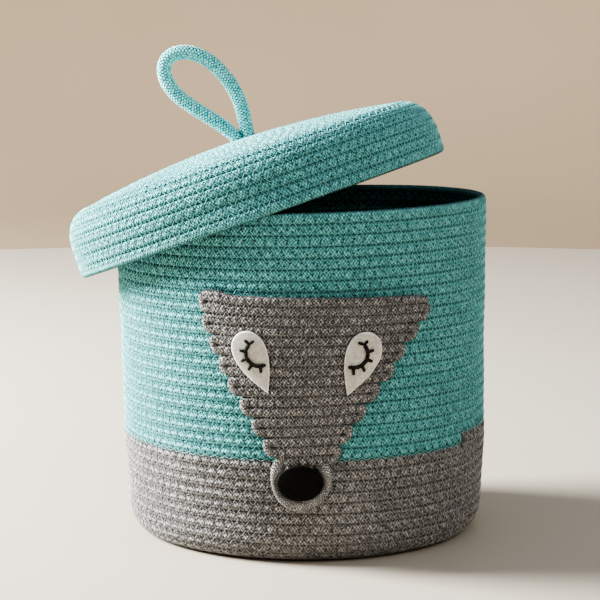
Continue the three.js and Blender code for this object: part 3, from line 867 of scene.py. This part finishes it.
def lash(arc, ticks, which):
    """Twisted thread laid in an arc, with straight stitches standing off it."""
    soft = Soft()
    lines = [smooth_curve(arc, 10)] + [np.array([tick[:2], tick[2:]], float) for tick in ticks]
    for k, points in enumerate(lines):
        path, at = evenly(points, 0.8)
        thin = 0.55 + 0.45 * rounded_end(np.minimum(at, at[-1] - at), 1.2, 0)
        strand_width, spread = LASH_ARC if k == 0 else LASH_TICK
        off = EYE_SEAT + FELT + LASH_PROUD - LASH_DIVE * (1 - thin)
        line = on_wall(path[:, 0], path[:, 1], off)
        out = on_wall(path[:, 0], path[:, 1], off + 1) - line
        for strand in range(2):
            turn = TURN * (at / LASH_TWIST + strand / 2)
            across = tube_rings(line, out, spread, spread, 1)[:, 0] - line
            up = unit(out) * 0.3
            twisted = line + across * np.cos(turn)[:, None] + up * np.sin(turn)[:, None]
            rings = tube_rings(twisted, out, strand_width * thin, 0.55 * thin, 6)
            soft.tube(rings, at, np.linspace(0, 3, 7))
    return soft.write(f"{which}_lash_thread", BLACK_THREAD, "basket", "black_thread", [f"lash_{which}"])


# The loop on the lid and the knot that holds it
def loop():
    """A round braid of sixteen strands over a core, along the loop's route."""
    route = smooth_curve(LOOP_ROUTE, 16)
    legs = [route[:1] + [[1.0, -LEG_DEPTH]], route, route[-1:] + [[-0.5, -LEG_DEPTH]]]
    route, at = evenly(np.concatenate(legs), 0.9)
    run = unit(np.gradient(route, axis=0))
    middle = np.stack([route[:, 0], np.zeros(len(route)), route[:, 1]], axis=1)
    side = np.stack([-run[:, 1], np.zeros(len(route)), run[:, 0]], axis=1)
    front = np.array([0, 1.0, 0])
    soft = Soft()
    thick = LOOP_BRAID / 2 * (1 + LOOP_SWELL * np.sin(math.pi * at / at[-1]))
    core = tube_rings(middle, front, thick - CORE_DEPTH, thick - CORE_DEPTH, 12)
    soft.tube(place_loop(core), np.zeros(len(at)), np.full(13, CORE_SHADE))
    for way in (-1, 1):
        for k in range(LOOP_STRANDS):
            turn = way * TURN * at / LOOP_LAY + TURN * (k + 0.5 * (way > 0)) / LOOP_STRANDS
            crossings = LOOP_STRANDS * at / LOOP_LAY + 0.25 * way
            radius = thick - STRAND_DEPTH + STRAND_RISE * np.cos(TURN * crossings)
            out = np.cos(turn)[:, None] * side + np.sin(turn)[:, None] * front
            line = middle + radius[:, None] * out
            rings = tube_rings(line, out, STRAND_WIDTH, STRAND_HEIGHT, 6)
            soft.tube(place_loop(rings), crossings, np.linspace(0, 1, 7))
    made = soft.write("loop_rope", LOOP_CORD, None, "teal_rope", ["loop_handle"])
    hinge = place_loop(np.zeros(3))
    up = LID_AXIS / np.linalg.norm(LID_AXIS)
    (hinge - up) * MM
    (hinge + 14 * up) * MM
    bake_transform(made)


def knot():
    """Under the crown: the loop's two legs, bound together by two turns of rope."""
    start, end = np.array(LOOP_ROUTE[0]), np.array(LOOP_ROUTE[-1])
    middle = (start[0] + end[0]) / 2
    spread = (end[0] - start[0]) / 2
    reach = spread + LOOP_ROPE / 2 + KNOT_REACH
    top = np.interp(reach, LID.points[:, 0], LID.points[:, 1]) - WALL - SEAT_GAP
    soft = Soft()
    heights = np.linspace(top - KNOT_LEGS, LID_PEAK - GROOVE_DEPTH - 1.5, 14)
    swell = 1 + 0.05 * np.sin(heights * 1.3)
    ring = (LOOP_ROPE / 2 * swell)[:, None, None] * pointing(TURN * np.arange(12) / 12)
    upright = np.broadcast_to(heights[:, None, None], (*ring.shape[:2], 1))
    for x in (middle - spread, middle + spread):
        points = np.concatenate([ring + [x, 0], upright], axis=2)
        soft.tube(on_lid(points), heights, np.linspace(0, 20, 13))
    bound = KNOT_ROPE / 2
    turns = np.linspace(0, KNOT_TURNS, 150)
    length = 4 * spread + TURN * (LOOP_ROPE / 2 + bound)
    line = stadium(np.mod(turns, 1) * length, middle, spread, LOOP_ROPE / 2 + bound - 0.3)
    heights = top - bound - KNOT_DROP * turns / KNOT_TURNS
    line = np.concatenate([line, heights[:, None]], axis=1)
    out = line - [middle, 0, 0]
    out[:, 2] = 0
    rings = tube_rings(on_lid(line), out @ LID_TURN.T, bound * 0.95, bound, 10)
    soft.tube(rings, turns * length, np.linspace(-8, 8, 11))
    soft.write("loop_knot_rope", LOOP_CORD, "lid", "teal_rope", ["loop_knot"])


def stadium(along, middle, spread, radius):
    """Points along the outline of a stadium, from the foot of its right-hand bend."""
    bend, straight = math.pi * radius, 2 * spread
    along = along % (2 * (bend + straight))
    turned = np.clip(along, 0, bend) + np.clip(along - bend - straight, 0, bend)
    across = np.clip(along - 2 * bend - straight, 0, straight) - np.clip(along - bend, 0, straight)
    ends = np.stack([middle + spread + across, np.zeros(len(along))], axis=1)
    return ends + radius * pointing(turned / radius - math.pi / 2)


class Wire:
    """A number in a finish, so that patterns can be written as sums."""

    def __init__(self, finish, socket):
        self.finish, self.socket = finish, socket

    def __add__(self, other):
        return self.finish.math("ADD", self, other)

    def __sub__(self, other):
        return self.finish.math("SUBTRACT", self, other)

    def __mul__(self, other):
        return self.finish.math("MULTIPLY", self, other)

    def __truediv__(self, other):
        return self.finish.math("DIVIDE", self, other)

    __radd__ = __add__

    def __rsub__(self, other):
        return self.finish.math("SUBTRACT", other, self)


class Finish:
    """A fabric's material. Its map "rope" holds how far along and how far round a rope a point is, in mm."""

    def __init__(self, name, roughness, sheen):
        self.made = bpy.data.materials.new(name)
        self.made.use_nodes = True
        self.nodes, self.links = self.made.node_tree.nodes, self.made.node_tree.links
        self.shader = self.nodes["Principled BSDF"]
        self.fill(self.shader, {"Roughness": roughness, "Sheen Weight": sheen})
        self.fill(self.shader, {"Sheen Roughness": 0.45, "Specular IOR Level": 0.2})
        self.place = self.node("TexCoord", {}, "Object")

    def fill(self, node, inputs):
        for name, value in inputs.items():
            if isinstance(value, Wire):
                self.links.new(value.socket, node.inputs[name])
            else:
                node.inputs[name].default_value = value

    def node(self, kind, inputs, result=0, **settings):
        """One result of a new node with these inputs and settings."""
        made = self.nodes.new("ShaderNode" + kind)
        for name, value in settings.items():
            setattr(made, name, value)
        self.fill(made, inputs)
        return Wire(self, made.outputs[result])

    def math(self, operation, *values):
        return self.node("Math", dict(enumerate(values)), operation=operation)

    def uv(self, name):
        layer = self.node("UVMap", {}, uv_map=name)
        return [self.node("SeparateXYZ", {0: layer}, k) for k in range(2)]

    def noise(self, scale, detail=2, at=None):
        return self.node("TexNoise", {"Vector": at or self.place, "Scale": scale, "Detail": detail})

    def spot(self, x, y, z):
        return self.node("CombineXYZ", {0: x, 1: y, 2: z})

    def rise(self, value, low, high):
        """0 below low, 1 above high, smooth between."""
        inputs = {"Value": value, "From Min": low, "From Max": high}
        return self.node("MapRange", inputs, interpolation_type="SMOOTHSTEP")

    def mix(self, share, *colours):
        """A colour between two, each written as red, green and blue or taken from a node."""
        first, second = (c if isinstance(c, Wire) else (*c, 1.0) for c in colours)
        return self.node("Mix", {0: share, 6: first, 7: second}, 2, data_type="RGBA")

    def scaled(self, colour, share):
        """A colour times a number."""
        return self.node("VectorMath", {0: colour, "Scale": share}, operation="SCALE")

    def zigzag(self, phase):
        """The stitches' course, from -1 to 1, with its peak at a quarter of the period."""
        within = self.math("FLOORED_MODULO", phase + 0.25, 1.0) - 0.5
        return 1 - self.math("ABSOLUTE", within) * 4

    def strands(self, s, w, lay, slant):
        """Two families of crossing strands: height, 0 between them and 1 on their crests, and number."""
        one = (s + w * slant) / lay
        two = (s - w * slant) / lay
        rows = self.math("FLOOR", one), self.math("FLOOR", two)
        over = self.math("FLOORED_MODULO", rows[0] + rows[1], 2.0)
        first = self.math("ABSOLUTE", self.math("SINE", one * math.pi))
        second = self.math("ABSOLUTE", self.math("SINE", two * math.pi))
        return first + over * (second - first), rows[0] + over * (rows[1] - rows[0])

    def finish(self, colour, height, roughness=None):
        bump = self.node("Bump", {"Strength": 1.0, "Distance": MM, "Height": height})
        self.fill(self.shader, {"Base Color": colour, "Normal": bump})
        if roughness:
            self.fill(self.shader, {"Roughness": roughness})
        return self.made


# The needle holes on the rope's round, and how much painted shade darkens the holes, the grooves and the
# valleys
HOLE_ROUND = HALF_ROUND / math.pi * math.asin((2 * HOLE_PLACE) ** (ROPE_SQUARENESS / 2))
HOLE_LONG = 0.95
HOLE_WIDE = 0.9
HOLE_PAINTED_SHADE = 0.72
GROOVE_PAINTED_SHADE = 0.38
VALLEY_PAINTED_SHADE = 0.4


def rope_finish(name, dark, middle, light, lay=2.3, slant=0.8, sewn=True):
    """Braided cotton: leaning strands, heathered flecks, painted shade between the strands, and painted
    shade in the grooves and holes of the sewing and beside its thread.
    """
    f = Finish(name, 0.95, 0.1)
    s, w = f.uv("rope")
    warp = f.noise(260, 1) - 0.5
    strands, number = f.strands(s + warp * 1.8, w + warp * 1.2, lay, slant)
    yarn = f.noise(1.0, 1, f.spot(number * 3.7, w * 0.3, number * 1.3))
    flecks = f.noise(1.0, 2, f.spot(s * 1.5, w * 1.7, strands * 0.5))
    fibres = f.noise(1500, 3)
    patches = f.noise(22)
    tone = strands * 0.35 + yarn * 0.75 + flecks * 0.6 + patches * 0.15 - 0.46
    colour = f.mix(f.rise(tone, 0.12, 0.5), dark, middle)
    colour = f.mix(f.rise(tone, 0.42, 0.9), colour, light)
    # Painted shade: darker in the gaps between the strands
    shade = 0.6 + f.rise(strands, 0.05, 0.55) * 0.42
    height = strands * 1.7 + fibres * 0.3 + flecks * 0.5
    if sewn:
        low, high = f.uv("seam")
        lower = needle_hole(f, low, LOWER_HOLE, w + HOLE_ROUND)
        upper = needle_hole(f, high, UPPER_HOLE, w - HOLE_ROUND)
        across = f.math("SINE", w * (math.pi / HALF_ROUND))
        beside_low = beside_thread(f, low, 1 + across)
        beside_high = beside_thread(f, high + 0.5, 1 - across)
        beside = f.math("MINIMUM", beside_low, beside_high)
        groove = f.rise(f.math("ABSOLUTE", w), 2.8, 5.0)
        hole = f.math("MAXIMUM", lower, upper) * f.rise(flecks + warp * 0.5, 0.25, 0.55)
        valley = 1 - f.rise(beside, 0.05, 0.4)
        # Painted shade: darker in the needle holes, in the grooves between the rows, and in the valleys
        # beside the thread
        shade = shade * (1 - hole * HOLE_PAINTED_SHADE) * (1 - groove * GROOVE_PAINTED_SHADE) * (1 - valley * VALLEY_PAINTED_SHADE)
        height = height - hole * 0.9 - valley * 0.6
    colour = f.scaled(colour, shade)
    return f.finish(colour, height, 0.88 + fibres * 0.12)


def cord_finish(name, dark, middle, light):
    """A round braid: painted light on each strand where it rises over the others, and painted shade where it
    dips and on its underside.
    """
    f = Finish(name, 0.95, 0.1)
    crossings, round_it = f.uv("rope")
    over = f.math("COSINE", crossings * TURN) * 0.5 + 0.5
    back = f.rise(f.math("SINE", round_it * TURN), 0.0, 0.9)
    flecks = f.noise(520)
    fibres = f.noise(1500, 3)
    # Painted light and shade: light on a strand's back where it crosses over, shade on its underside and
    # where it dips
    tone = over * back + (flecks - 0.5) * 1.3
    colour = f.mix(f.rise(tone, 0.2, 0.8), dark, middle)
    colour = f.mix(f.rise(tone, 0.72, 1.15), colour, light)
    return f.finish(colour, fibres * 0.3 + flecks * 0.3, 0.88 + fibres * 0.12)


def needle_hole(f, phase, where, across):
    """1 in the needle hole that lies there in the stitch's period, and 0 away from it."""
    along = (f.math("FLOORED_MODULO", phase + (0.5 - where), 1.0) - 0.5) * (STITCH / HOLE_LONG)
    wide = across / HOLE_WIDE
    return 1 - f.rise(along * along + wide * wide, 0.2, 1.6)


def beside_thread(f, phase, from_groove):
    """How far a point lies from the thread, across the row, as a share of half a row."""
    return f.math("ABSOLUTE", from_groove - f.zigzag(phase) * (2 * SEAM_REACH))


def thread_finish(name, dark, light):
    """Stranded thread, twisted."""
    f = Finish(name, 0.8, 0.0)
    s, w = f.uv("rope")
    ply = f.math("ABSOLUTE", f.math("SINE", (s + w * 0.8) * (math.pi / 1.1)))
    uneven = f.noise(420)
    colour = f.mix(f.rise(ply * 0.25 + uneven, 0.45, 0.8), dark, light)
    return f.finish(colour, ply * 0.22 + f.noise(2200) * 0.12, 0.72 + uneven * 0.2)


def felt_finish(name, dark, light, tuft):
    """Pressed wool: tangled fibres at two sizes, with soft patches, and a lighter cut edge that is partly a
    painted highlight.
    """
    f = Finish(name, 0.98, tuft)
    fibres = f.noise(1400, 4)
    tangle = f.noise(420, 3)
    patches = f.noise(60)
    share, _ = f.uv("rope")
    # A lighter rim along the felt's cut edge: partly the edge's own look, partly a painted highlight
    cut_edge_and_highlight = f.rise(share, 0.93, 0.975)
    colour = f.mix(f.rise(fibres * 0.45 + tangle * 0.35 + patches * 0.3, 0.38, 0.75), dark, light)
    colour = f.scaled(colour, 1 + cut_edge_and_highlight * 0.5)
    return f.finish(colour, fibres * 0.3 + tangle * 0.35, 0.92 + fibres * 0.08)


TEAL_ROPE = rope_finish("teal cotton rope", (0.03, 0.175, 0.19), (0.145, 0.455, 0.475), (0.33, 0.9, 0.91))
GREY_ROPE = rope_finish("grey cotton rope", (0.045, 0.046, 0.048), (0.205, 0.207, 0.21), (0.68, 0.675, 0.67))
LOOP_CORD = cord_finish("teal braided cord", (0.01, 0.18, 0.21), (0.18, 0.63, 0.66), (0.6, 0.97, 0.97))
SNOUT_CORD = rope_finish(
    "light grey cord", (0.1, 0.1, 0.1), (0.29, 0.288, 0.285), (0.7, 0.695, 0.69), 2.0, 0.9, False
)
TEAL_THREAD = thread_finish("pale teal thread", (0.17, 0.56, 0.58), (0.4, 0.88, 0.89))
GREY_THREAD = thread_finish("pale grey thread", (0.28, 0.28, 0.28), (0.64, 0.635, 0.63))
PANEL_YARN = thread_finish("grey thread", (0.16, 0.16, 0.16), (0.5, 0.495, 0.49))
WHITE_FELT = felt_finish("off-white felt", (0.4, 0.39, 0.355), (0.68, 0.67, 0.63), 0.2)
BLACK_FELT = felt_finish("black felt", (0.003, 0.003, 0.003), (0.012, 0.012, 0.011), 0.0)
BLACK_THREAD = thread_finish("black stranded thread", (0.006, 0.006, 0.006), (0.035, 0.033, 0.03))

body_and_lid()
panel_rope()
panel_seams()
snout()
nose()
eye(LEFT_EYE_TIP, -1, LEFT_EYE_WIDTH, "left")
eye(RIGHT_EYE_TIP, 1, RIGHT_EYE_WIDTH, "right")
lash(LEFT_LASH, LEFT_TICKS, "left")
lash(RIGHT_LASH, RIGHT_TICKS, "right")
loop()
knot()


def round_surface(name, profile, material, closed=False):
    """A surface turned about the upright axis, from a profile of radius and height."""
    sides = 96
    angles = TURN * np.arange(sides) / sides
    points = [(r * math.cos(a), r * math.sin(a), z) for r, z in profile for a in angles]
    faces = bands(len(profile), sides)[:, ::-1].tolist()
    if closed:
        faces.append(list(range(sides)))
    made = placed(name, smooth_mesh(name, points, faces, material))


def surroundings():
    """A pale floor and a plain wall that curves up all round, both in metres."""
    pale = Finish("pale floor", 0.6, 0.0)
    colour = pale.mix(pale.noise(3), (0.42, 0.385, 0.325), (0.45, 0.41, 0.35))
    round_surface("floor", [(0.5, 0), (1.9, 0)], pale.finish(colour, pale.noise(40) * 0.1), True)
    beige = Finish("beige wall", 0.9, 0.0)
    colour = beige.mix(beige.noise(2), (0.3, 0.235, 0.165), (0.34, 0.27, 0.195))
    profile = [(1.9, 0), (2.2, 0.03), (2.45, 0.14), (2.6, 0.35), (2.7, 0.7), (2.75, 1.3)]
    round_surface("backdrop", profile, beige.finish(colour, beige.noise(20) * 0.1))


def area_light(name, place, size, watts, colour):
    lamp = bpy.data.lights.new(name, "AREA")
    lamp.shape = "DISK"
    lamp.size = size
    lamp.energy = watts
    lamp.color = colour
    made = placed(name, lamp)
    direction = Vector(LIGHT_TARGET) - Vector(place)
    made.location = place
    made.rotation_euler = direction.to_track_quat("-Z", "Y").to_euler()


def light_and_camera():
    area_light("window", (-1.93, 0.33, 1.15), 1.0, 260, (1.0, 0.985, 0.96))
    area_light("room", (2.1, -1.3, 1.5), 2.2, 31, (1.0, 0.955, 0.9))
    world = bpy.data.worlds.new("room")
    world.use_nodes = True
    glow = world.node_tree.nodes["Background"]
    glow.inputs["Color"].default_value = (0.82, 0.9, 1.0, 1)
    glow.inputs["Strength"].default_value = 0.505
    scene = bpy.context.scene
    scene.world = world
    scene.view_settings.view_transform = "AgX"
    scene.view_settings.look = "AgX - High Contrast"
    lens = bpy.data.cameras.new("camera")
    lens.lens = CAMERA_LENS
    lens.sensor_width = CAMERA_SENSOR
    camera = placed("camera", lens)
    camera.location = CAMERA_PLACE
    camera.rotation_euler = (math.radians(90 - CAMERA_DOWN), 0, math.radians(CAMERA_LEFT))
    scene.camera = camera


surroundings()
light_and_camera()
